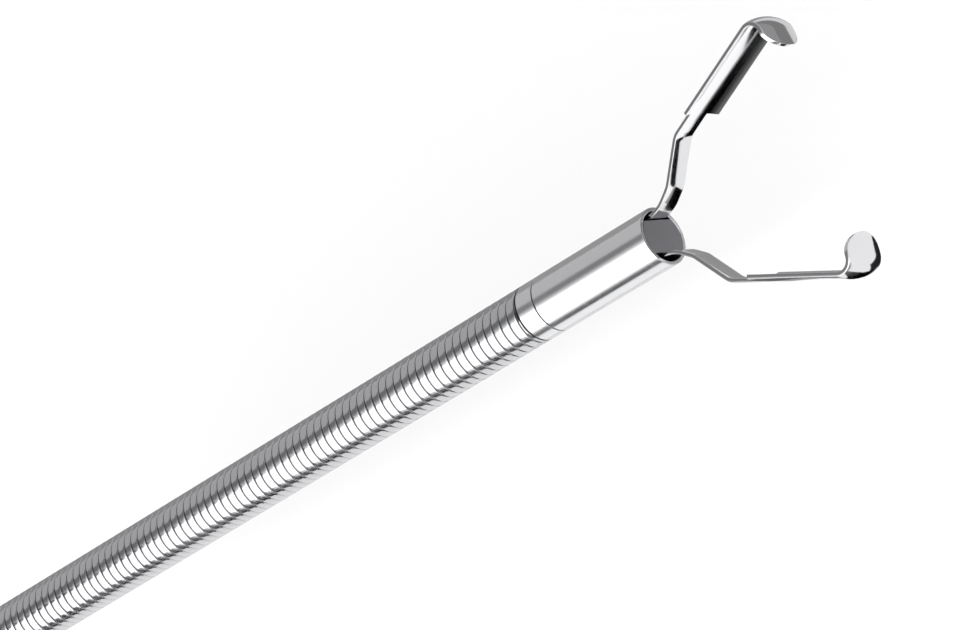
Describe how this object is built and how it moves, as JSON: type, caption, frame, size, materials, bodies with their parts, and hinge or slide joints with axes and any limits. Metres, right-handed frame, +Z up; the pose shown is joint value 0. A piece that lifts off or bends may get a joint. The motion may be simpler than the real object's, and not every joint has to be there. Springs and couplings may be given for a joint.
{
  "type": "endoscopic grasping forceps",
  "caption": "Working end of endoscopic grasping forceps: a close-wound sheath and polished sleeve with a pull wire that draws sprung, hooked jaws together.",
  "frame": {"origin": "middle of the sleeve's mouth, on the long axis and on the guide's flat end face", "axes": "+X out of the mouth towards the jaws, +Y towards the left jaw, +Z up, square to the plane in which the jaws open"},
  "size_m": [0.0557, 0.0106, 0.0024],
  "materials": {
    "sheath_wire": "drawn stainless spring wire, close wound",
    "sleeve_steel": "polished stainless tube",
    "guide_steel": "stainless, ground flat and left dull",
    "wire_steel": "drawn stainless wire",
    "connector_steel": "machined stainless",
    "spring_strip": "pressed and polished spring steel strip"
  },
  "bodies": {
    "root": {"coil_sheath": "sheath_wire", "coupling_collar": "sleeve_steel", "distal_sleeve": "sleeve_steel", "end_guide": "guide_steel"},
    "drive": {"pull_wire": "wire_steel", "leg_connector": "connector_steel", "leg_rivet": "connector_steel", "leg_left": "spring_strip", "leg_right": "spring_strip"},
    "jaw_left": {"jaw_left": "spring_strip"},
    "jaw_right": {"jaw_right": "spring_strip"}
  },
  "joints": [
    {"name": "wire_slide", "type": "slide", "parent": "root", "child": "drive", "axis": [1, 0, 0], "range_m": [-0.001, 0]},
    {"name": "jaw_left_hinge", "type": "hinge", "parent": "drive", "child": "jaw_left", "pos_m": [0.00035, 0.00084, 0], "axis": [0, 0, 1], "range_deg": [-24.4, 0]},
    {"name": "jaw_right_hinge", "type": "hinge", "parent": "drive", "child": "jaw_right", "pos_m": [0.00035, -0.00084, 0], "axis": [0, 0, 1], "range_deg": [0, 24.4]}
  ],
  "couplings": [
    {"joint": "jaw_left_hinge", "follows": "wire_slide", "rad_per_m": 425.8},
    {"joint": "jaw_right_hinge", "follows": "wire_slide", "rad_per_m": -425.8}
  ]
}
